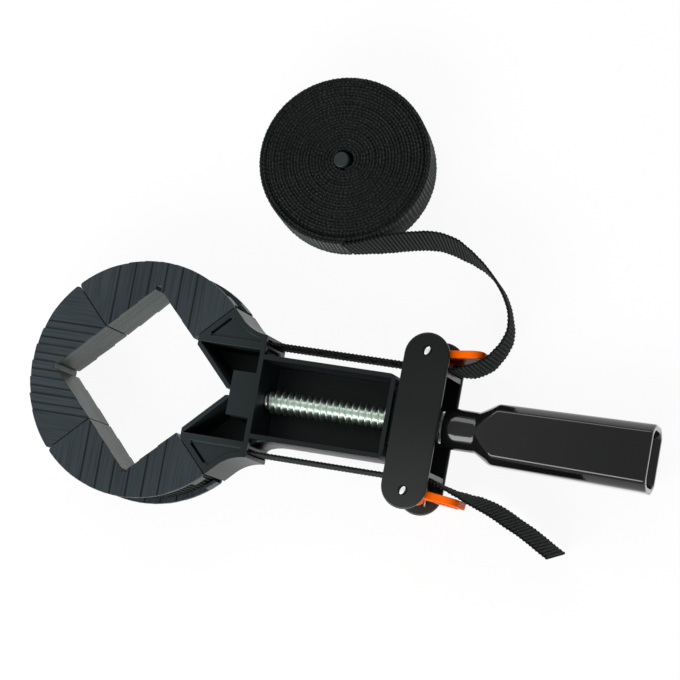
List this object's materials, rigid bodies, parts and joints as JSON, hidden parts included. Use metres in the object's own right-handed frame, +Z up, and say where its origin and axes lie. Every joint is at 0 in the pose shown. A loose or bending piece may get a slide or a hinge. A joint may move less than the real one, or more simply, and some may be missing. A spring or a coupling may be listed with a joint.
{
  "type": "band clamp",
  "caption": "Frame clamp: webbing round right-angled corner blocks, drawn tight by a screw-driven crosshead with cam strap locks and a handle.",
  "frame": {"origin": "middle of the clamp's length and width at the level of the crosshead's underside, without the free strap", "axes": "+X from the corner blocks to the handle, +Z up, away from the bench"},
  "size_m": [0.304, 0.2152, 0.0328],
  "materials": {
    "moulding": "satin charcoal",
    "plate": "satin black",
    "gloss": "gloss black",
    "webbing": "ribbed black webbing",
    "lever": "orange",
    "zinc": "bright zinc plate"
  },
  "bodies": {
    "frame": {"frame_body": "moulding", "spindle_nut": "zinc", "strap_run_upper": "webbing", "strap_run_lower": "webbing"},
    "jaw_upper_block": {"jaw_upper": "moulding", "strap_jaw_upper": "webbing"},
    "jaw_front_block": {"jaw_front": "moulding", "strap_jaw_front": "webbing"},
    "jaw_lower_block": {"jaw_lower": "moulding", "strap_jaw_lower": "webbing"},
    "crosshead": {"yoke": "plate", "top_plate": "plate", "bottom_plate": "plate", "cam_pin_upper": "zinc", "cam_pin_lower": "zinc", "lever_spring_upper": "zinc", "lever_spring_lower": "zinc", "thrust_washer": "zinc", "strap_roll": "webbing", "strap_lead": "webbing", "strap_tail": "webbing", "roll_core": "moulding"},
    "lever_upper": {"cam_lever_upper": "lever"},
    "lever_lower": {"cam_lever_lower": "lever"},
    "handle": {"spindle": "zinc", "handle_grip": "gloss", "handle_pin": "zinc", "retaining_ring": "zinc"}
  },
  "joints": [
    {"name": "crosshead_slide", "type": "slide", "parent": "frame", "child": "crosshead", "axis": [1, 0, 0], "range_m": [0, 0.05]},
    {"name": "handle_turn", "type": "hinge", "parent": "crosshead", "child": "handle", "pos_m": [0.0436, 0, 0.0164], "axis": [1, 0, 0], "range_deg": [0, 5626]},
    {"name": "lever_upper_turn", "type": "hinge", "parent": "crosshead", "child": "lever_upper", "pos_m": [0.0424, 0.0328, 0.0164], "axis": [0, 0, 1], "range_deg": [0, 40], "stiffness_Nm_per_rad": 0.04, "springref_deg": -28.65},
    {"name": "lever_lower_turn", "type": "hinge", "parent": "crosshead", "child": "lever_lower", "pos_m": [0.0424, -0.0328, 0.0164], "axis": [0, 0, -1], "range_deg": [0, 40], "stiffness_Nm_per_rad": 0.04, "springref_deg": -28.65},
    {"name": "jaw_upper_slide", "type": "slide", "parent": "frame", "child": "jaw_upper_block", "axis": [-0.7071, 0.7071, 0], "range_m": [0, 0.012]},
    {"name": "jaw_front_slide", "type": "slide", "parent": "jaw_upper_block", "child": "jaw_front_block", "axis": [-0.7071, -0.7071, 0], "range_m": [0, 0.012]},
    {"name": "jaw_lower_slide", "type": "slide", "parent": "jaw_front_block", "child": "jaw_lower_block", "axis": [0.7071, -0.7071, 0], "range_m": [0, 0.012]}
  ],
  "couplings": [
    {"joint": "handle_turn", "follows": "crosshead_slide", "rad_per_m": 1963.5},
    {"joint": "jaw_front_slide", "follows": "jaw_upper_slide", "ratio": 1},
    {"joint": "jaw_lower_slide", "follows": "jaw_upper_slide", "ratio": 1}
  ]
}
